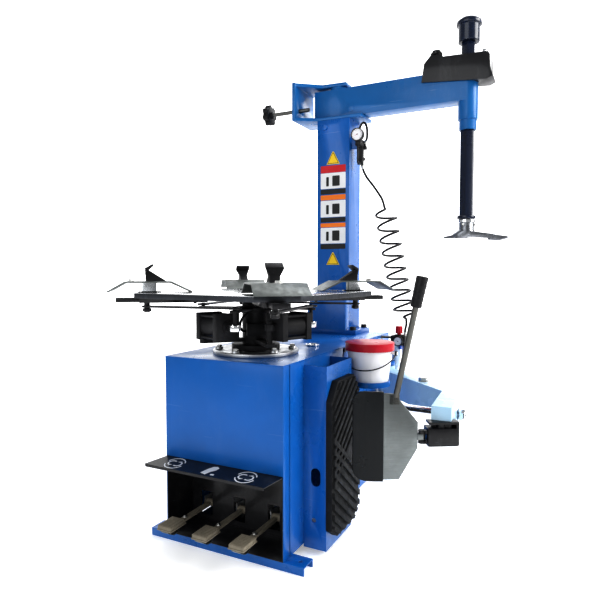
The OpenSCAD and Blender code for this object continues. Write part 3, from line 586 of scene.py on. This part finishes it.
paint_faces(table, "edge", lambda c: c.z < PLATE_EDGE_TOP)
paint_faces(table, "black", lambda c: c.z < PLATE_UNDER)
soften("table_hub", "cast_black", 1)
soften("spider", "cast_black", 1)


def turned_place(c, origin, angle):
    """A point's (along, across) distances from origin, in axes turned by an angle."""
    x, y = c.x - origin[0], c.y - origin[1]
    return (x * math.cos(angle) + y * math.sin(angle),
            y * math.cos(angle) - x * math.sin(angle))


def on_jaw_block(c, angle):
    """True on the bright block under a jaw, between the table and the cover plate."""
    along, across = turned_place(c, TABLE_AXIS, angle)
    low, high = JAW_BLOCK
    return abs(across) < 0.028 and 0.335 < along < 0.392 and low < c.z < high


for k in range(4):
    soften(f"slide_{k + 1}", "black", 1)
    jaw = soften(f"jaw_{k + 1}", "jaw", 0.9)
    jaw_angle = TABLE_TURN + k * math.pi / 2
    paint_faces(jaw, "table", lambda c: on_jaw_block(c, jaw_angle))
    paint_faces(jaw, "cast_black", lambda c: c.z > JAW_COVER_TOP)
    soften(f"link_{k + 1}", "black", 0.8)
for k in (1, 2):
    soften(f"clamp_cylinder_{k}", "cast_black", 1.2)
    soften(f"clamp_rod_{k}", "rod", 0.6)
soften("breaker_cylinder", "alu", 1.5)
soften("breaker_rod", "rod", 0.8)
# the breaker arm takes the pale blue with the painted glare
arm = soften("breaker_arm", "arm_painted_glare", 2)


def on_blade_mount(c):
    """True on the black housing that holds the blade, at the arm's tip."""
    along, across = turned_place(c, BLADE_PIN, BLADE_TURN)
    return -0.016 < along < 0.108 and abs(across) < 0.028 and c.z < 0.425


paint_faces(arm, "black", on_blade_mount)
soften("breaker_blade", "blade", 1.2)
soften("blade_cover", "cover", 2.5, 3)
lever = soften("blade_lever", "lever", 1)
paint_faces(lever, "black_plastic", lambda c: c.z > GRIP_FOOT)
soften("pail_holder", "blue", 0.8)
pail = soften("pail", "white", 0.8)
paint_faces(pail, "red", lambda c: c.z > LID_RIM)
soften("pail_bail", "black", 0)
paint_faces(gear, "alu", lambda c: c.z > ROOF)
paint_faces(gear, "rod", lambda c: c.z > ROOF and c.y > back(0.38))
unit_look = soften("air_unit", "cast_black", 1)
paint_faces(unit_look, "bowl", lambda c: c.z < BOWL_TOP and c.x < 0.297)
paint_faces(unit_look, "blue_plastic", lambda c: c.z < BOWL_TOP and c.x > 0.3005)
soften("regulator_knob", "red", 0.8)
soften("inflator_gun", "black_plastic", 0.8)
soften("gun_trigger", "steel", 0.6)


# ---- small parts ----

UP = (0, 0, 1)
DOWN = (0, 0, -1)
FRONT = (0, -1, 0)


def move(at, *turns):
    """Matrix that turns a piece, then moves it. Each turn is (degrees, axis)."""
    matrix = Matrix.Translation(Vector(at))
    for degrees, axis in turns:
        matrix = matrix @ Matrix.Rotation(math.radians(degrees), 4, axis)
    return matrix


def arc_band(inner, outer, start, stop, steps=24):
    """Outline of part of a ring, angles in degrees."""
    turn = [math.radians(start + (stop - start) * k / steps) for k in range(steps + 1)]
    return ([(outer * math.cos(a), outer * math.sin(a)) for a in turn]
            + [(inner * math.cos(a), inner * math.sin(a)) for a in reversed(turn)])


# pedal hood marks: a broken ring with arrows for the two outer pedals, a foot between
HOOD_TURN = (7, "X")
HOOD_MARKS_Y = back(0) - 0.036
HOOD_MARKS_Z = 0.2720
HOOD_ARCS = (  # inner and outer radius, first and last angle, shift along X
    (0.030, 0.034, 20, 165, 0), (0.030, 0.034, 200, 345, 0),
    (0.011, 0.016, 60, 230, -0.010), (0.011, 0.016, -120, 50, 0.010))
HOOD_ARROWS = ((-0.010, -0.012, 10), (0.010, 0.012, 190))  # x, y, turn
ARROW = [(-0.007, -0.004), (0.007, 0), (-0.007, 0.004)]
FOOT = [(-0.011, -0.026), (0.010, -0.026), (0.012, -0.006), (0.020, 0.010), (0.019, 0.024),
        (0.008, 0.029), (-0.004, 0.022), (-0.009, 0.004)]


def hood_mark(name, points, matrix):
    """A white mark on the hood."""
    plate(name, points, FOIL, "label_white", "frame", matrix)


for name in ("left", "right"):
    on_hood = move((PEDALS[name], HOOD_MARKS_Y, HOOD_MARKS_Z), HOOD_TURN)
    for k, (inner, outer, start, stop, shift) in enumerate(HOOD_ARCS):
        hood_mark(f"hood_ring_{name}_{k}", arc_band(inner, outer, start, stop),
                  on_hood @ move((shift, 0, 0)))
    for k, (x, y, turn) in enumerate(HOOD_ARROWS):
        hood_mark(f"hood_arrow_{name}_{k}", ARROW, on_hood @ move((x, y, 0), (turn, "Z")))
hood_mark("hood_foot", FOOT,
          move((PEDALS["middle"], HOOD_MARKS_Y, HOOD_MARKS_Z), HOOD_TURN, (-14, "Z")))
hood_mark("hood_heel", rounded_rect(0.014, 0.008, 0.003),
          move((0.006, back(0) - 0.058, 0.2694), HOOD_TURN))

# blank plates on the column: no lettering and no pictures
COLUMN_FACE = back(0.850) + 0.0001
VINYL = 0.0005  # thickness of a label
LABEL_WIDTH = 0.118
LABELS = (  # name, low edge, high edge, material
    ("band_red", 1.300, 1.331, "label_red"), ("white_1", 1.231, 1.299, "label_white"),
    ("band_dark_1", 1.208, 1.229, "ink"), ("band_orange_1", 1.182, 1.204, "label_orange"),
    ("white_2", 1.108, 1.180, "label_white"), ("band_dark_2", 1.086, 1.106, "ink"),
    ("band_orange_2", 1.064, 1.082, "label_orange"), ("white_3", 0.993, 1.062, "label_white"),
    ("band_dark_3", 0.969, 0.991, "ink"))
TRIANGLE = [(-0.031, -0.020), (0.031, -0.020), (0.003, 0.034), (-0.003, 0.034)]
TRIANGLE_RINGS = ((1.0, "yellow"), (0.84, "ink"), (0.74, "yellow"))  # from the outside in


def column_label(name, width, low, high, material, x=0.0, layer=0):
    """A blank label on the column's front. Each layer lies on the one before."""
    plate(f"plate_{name}", rounded_rect(width, high - low, 0.003), VINYL, material, "frame",
          move((x, COLUMN_FACE - layer * VINYL, (low + high) / 2), (90, "X")))


for name, low, high, material in LABELS:
    column_label(name, LABEL_WIDTH, low, high, material)
for k, z in enumerate((1.242, 1.121, 1.005)):
    column_label(f"mark_{k}", 0.034, z, z + 0.044, "ink", 0.014, 1)
    column_label(f"bar_{k}", 0.012, z, z + 0.040, "ink", -0.026, 1)
for k, z in enumerate((1.356, 0.920)):
    for layer, (grow, material) in enumerate(TRIANGLE_RINGS):
        plate(f"plate_triangle_{k}_{material}_{round(grow * 100)}",
              [(grow * x, grow * y) for x, y in TRIANGLE], VINYL, material, "frame",
              move((0, COLUMN_FACE - layer * VINYL, z), (90, "X")))


# tray that closes the cabinet's underside behind the pedals
plate("cabinet_tray", rounded_rect(0.410, 0.470, 0.004), 0.0012, "black", "frame",
      move((0, back(0.370), 0.0225)))


def bent_strip(name, profile, width, thickness, material, body, x):
    """A strip bent along a (y, z) line, extruded across X."""
    bm = bmesh.new()
    upper, lower = [], []
    for k, (y, z) in enumerate(profile):
        a = profile[max(k - 1, 0)]
        b = profile[min(k + 1, len(profile) - 1)]
        t = Vector((b[0] - a[0], b[1] - a[1])).normalized() * thickness / 2
        upper.append((y - t.y, z + t.x))
        lower.append((y + t.y, z - t.x))
    outline = upper + lower[::-1]
    rings = [[bm.verts.new((x + side * width / 2, y, z)) for y, z in outline] for side in (-1, 1)]
    n = len(outline)
    for k in range(n):
        bm.faces.new([rings[0][k], rings[0][(k + 1) % n], rings[1][(k + 1) % n], rings[1][k]])
    bm.faces.new(rings[0][::-1])
    bm.faces.new(rings[1])
    bmesh.ops.recalc_face_normals(bm, faces=bm.faces)
    return new_object(name, bm, material, body)


# pedals: ribbed treads on a bent bright plate
UNDER_STEPS = 20
UNDER = [(back(-0.090) + 0.086 * t, 0.0765 - 0.018 * math.sin(math.pi * min(1, 1.25 * t)))
         for t in (k / UNDER_STEPS for k in range(UNDER_STEPS + 1))]
for side, x in PEDALS.items():
    node = f"pedal_{side}"
    soften(node, "tread", 1.0)
    body = node_body(node)
    bent_strip(f"{node}_spring_plate", UNDER, 0.030, 0.0024, "jaw", body, x)
    bolt_head(f"{node}_bolt", (x, back(0.010), 0.0845), UP, body, 0.011)


def dial(name, at, radius, marks, needle_angle):
    """A dial that faces the operator: white face, graduations, needle and hub."""
    x, y, z = at
    face = lathe([(0, 0), (radius, 0), (radius, 0.0008), (0, 0.0010)], 40)
    new_object(name + "_face", placed(face, at, FRONT), "white", "frame")
    front = y - 0.0012
    above = front - 0.0006
    ring = radius * 0.84
    for k in range(marks):
        a = 225 - 270 * k / (marks - 1)
        spot = (x + ring * math.cos(math.radians(a)), front, z + ring * math.sin(math.radians(a)))
        plate(f"{name}_mark_{k}", rounded_rect(radius * 0.17, radius * 0.05, 0.0002, 1), 0.0003,
              "ink", "frame", move(spot, (90, "X"), (a, "Z")))
    pointer = [(-radius * 0.2, -0.0007), (radius * 0.72, 0), (-radius * 0.2, 0.0007)]
    plate(name + "_needle", pointer, FOIL, "red", "frame",
          move((x, above, z), (90, "X"), (needle_angle, "Z")))
    hub = lathe([(0, 0), (radius * 0.1, 0), (radius * 0.08, 0.0012), (0, 0.0016)], 20)
    new_object(name + "_hub", placed(hub, (x, above, z), FRONT), "ink", "frame")


dial("gun_dial", (0.115, 0.3474, 1.448), 0.0236, 11, 205)
dial("unit_dial", (0.296, 0.3587, 0.580), 0.0166, 9, 160)

# fastenings
bolt_head("arm_top_bolt", (0.456, back(0.640), 0.4658), UP, "breaker_arm", 0.030)
bolt_head("hinge_top_bolt", (*BREAKER_HINGE, 0.4985), UP, "frame", 0.026)
bolt_head("hinge_low_bolt", (*BREAKER_HINGE, 0.3215), DOWN, "frame", 0.026)


def level(angle):
    """Level unit vector at an angle from +X."""
    return Vector((math.cos(angle), math.sin(angle), 0))


def height(z):
    """Upright vector of a length."""
    return Vector((0, 0, z))


for k in range(6):
    spot = TABLE_AXIS + 0.122 * level(math.radians(30 + 60 * k)) + height(0.6205)
    bolt_head(f"flange_bolt_{k}", spot, UP, "frame", 0.015, washer=False)


def jaw_ridge(name, spot, angle, width, body):
    """One tooth across a jaw's gripping face."""
    ridge = bmesh.new()
    bmesh.ops.create_cube(ridge, size=1)
    size = Matrix.Diagonal((0.003, width, 0.0026, 1))
    matrix = Matrix.Translation(spot) @ Matrix.Rotation(angle, 4, "Z") @ size
    bmesh.ops.transform(ridge, matrix=matrix, verts=ridge.verts)
    bmesh.ops.bevel(ridge, geom=ridge.edges[:], offset=0.0006, segments=2, affect="EDGES")
    new_object(name, ridge, "cast_black", body)


for k in range(4):
    angle = TABLE_TURN + k * math.pi / 2
    out = level(angle)
    side = level(angle + math.pi / 2)
    body = f"clamp_{k + 1}"
    bolt_head(f"jaw_bolt_{k}", TABLE_AXIS + 0.398 * out + height(0.8385), UP, body, 0.016)
    for step in range(4):
        spot = TABLE_AXIS + 0.3535 * out + height(0.862 + 0.0055 * step)
        jaw_ridge(f"jaw_ridge_{k}_{step}", spot, angle, 0.030 + 0.005 * step, body)
    for sign in (-1, 1):
        spot = TABLE_AXIS + 0.200 * out + sign * 0.030 * side + height(0.7712)
        bolt_head(f"rail_bolt_{k}_{sign + 1}", spot, DOWN, "table", 0.009, "cast_black", False)

# air lines under the table, from the hub's rotary valve up to the plate; the second is
# shorter, clear of a clamp cylinder's swing
VALVE_LINE = ((0.044, 0.0, 0.672), (0.066, 0.004, 0.670), (0.092, 0.012, 0.682),
              (0.100, 0.024, 0.706), (0.086, 0.034, 0.726), (0.070, 0.036, 0.732))
for k, reach in enumerate((1.0, 0.74)):
    angle = TABLE_TURN + math.radians(25 + 180 * k)
    out = level(angle)
    side = level(angle + math.pi / 2)
    line = [TABLE_AXIS + reach * (r * out + w * side) + height(z) for r, w, z in VALVE_LINE]
    pipe(f"valve_line_{k}", line, 0.004, "hose", "table")
    union = lathe([(0, 0), (0.0075, 0), (0.0075, 0.008), (0.0055, 0.009), (0.0055, 0.014),
                   (0, 0.014)], 6)
    new_object(f"valve_union_{k}", placed(union, line[0], out), "alu", "table")

# mount head: collar, its screws and the roller
for k, a in enumerate((20, 140, 260)):
    way = level(math.radians(a))
    bolt_head(f"head_screw_{k}", SHAFT_AXIS + 0.0302 * way + height(1.058), way, "shaft", 0.010,
              "bolt", False)
collar = lathe([(0.0300, 1.064), (0.0345, 1.066), (0.0345, 1.076), (0.0300, 1.078)], 48)
new_object("head_collar", placed(collar, SHAFT_AXIS), "rod", "shaft")
roller = lathe([(0, -0.009), (0.007, -0.009), (0.0085, -0.006), (0.0085, 0.006), (0.007, 0.009),
                (0, 0.009)], 32)
new_object("head_roller", placed(roller, SHAFT_AXIS + Vector((-0.034, -0.018, 1.012)), (0.2, 1, 0)),
           "black_plastic", "shaft")

# a sprung button on the lock housing
button = lathe([(0, 0), (0.012, 0), (0.012, 0.004), (0.009, 0.006), (0.009, 0.013),
                (0.007, 0.016), (0, 0.017)], 32)
new_object("lock_button", placed(button, (0.618, back(0.892), 1.7125)), "rod", "swing")

# grip of the breaker's lever, with finger grooves
LEVER_TILT = math.radians(12)
GRIP_START = 0.2735  # along the lever from its foot
GRIP_STEPS = 24
GROOVES = 4
grip_axis = math.sin(LEVER_TILT) * level(BLADE_TURN) + height(math.cos(LEVER_TILT))
lever_foot = (Vector((*BLADE_PIN, 0.495)) - 0.080 * level(BLADE_TURN)
              + 0.002 * level(BLADE_TURN + math.pi / 2))
profile = [(0, 0), (0.0125, 0), (0.0165, 0.003)]
for k in range(GRIP_STEPS + 1):
    t = k / GRIP_STEPS
    groove = 0.0009 * math.cos(2 * math.pi * GROOVES * t)
    profile.append((0.0162 + 0.0016 * t + groove, 0.006 + 0.080 * t))
profile += [(0.0165, 0.0905), (0.0120, 0.0935), (0, 0.0945)]
new_object("lever_grip", placed(lathe(profile, 40), lever_foot + GRIP_START * grip_axis, grip_axis),
           "black_plastic", "blade")


# ---- studio ----

def stage_plane(name, size, at, turn, emission, **look):
    """A plain lit plane of the studio, which isn't part of the machine."""
    bm = bmesh.new()
    bmesh.ops.create_grid(bm, x_segments=1, y_segments=1, size=size)
    mesh = bpy.data.meshes.new(name)
    bm.to_mesh(mesh)
    bm.free()
    plane = bpy.data.objects.new(name, mesh)
    scene.collection.objects.link(plane)
    plane.location = at
    plane.rotation_euler = turn
    surface = Nodes(name + "_look")
    surface.set(Emission_Color=(1, 1, 1, 1), Emission_Strength=emission, **look)
    mesh.materials.append(surface.mat)


stage_plane("floor", size=14, at=(0, 0, 0), turn=(0, 0, 0), emission=0.42,
            Base_Color=(0.90, 0.90, 0.91), Roughness=0.8, Specular_IOR_Level=0.1)
# behind the machine and square to the camera, so the machine's front stays in softer light
stage_plane("backdrop", size=9, at=(-2.6, 5.2, 2.0),
            turn=(math.radians(90), 0, cam.rotation_euler.z), emission=1.05,
            Base_Color=(0.9, 0.9, 0.9))

world = bpy.data.worlds.new("studio")
scene.world = world
scene.view_settings.view_transform = "Standard"
scene.view_settings.gamma = 0.74
world.use_nodes = True
background = world.node_tree.nodes["Background"]
background.inputs["Color"].default_value = (0.97, 0.985, 1.0, 1)
background.inputs["Strength"].default_value = 0.50


def area_light(name, at, target, size, power, colour=(1, 1, 1)):
    """A rectangular lamp aimed at a point."""
    light = bpy.data.lights.new(name, "AREA")
    light.shape = "RECTANGLE"
    light.size, light.size_y = size
    light.energy = power
    light.color = colour
    obj = bpy.data.objects.new(name, light)
    scene.collection.objects.link(obj)
    obj.location = at
    obj.rotation_euler = (Vector(target) - Vector(at)).to_track_quat("-Z", "Y").to_euler()


area_light("key_right", at=(3.4, 0.6, 2.4), target=(0.1, 0, 0.7), size=(2.2, 2.2), power=170,
           colour=(1, 0.99, 0.97))
area_light("front_fill", at=(-0.6, -3.6, 2.2), target=(0, 0, 0.8), size=(3, 2.5), power=60,
           colour=(0.96, 0.98, 1))
area_light("top_back", at=(0.3, 2.2, 3.4), target=(0, 0, 0.9), size=(3, 2), power=70)
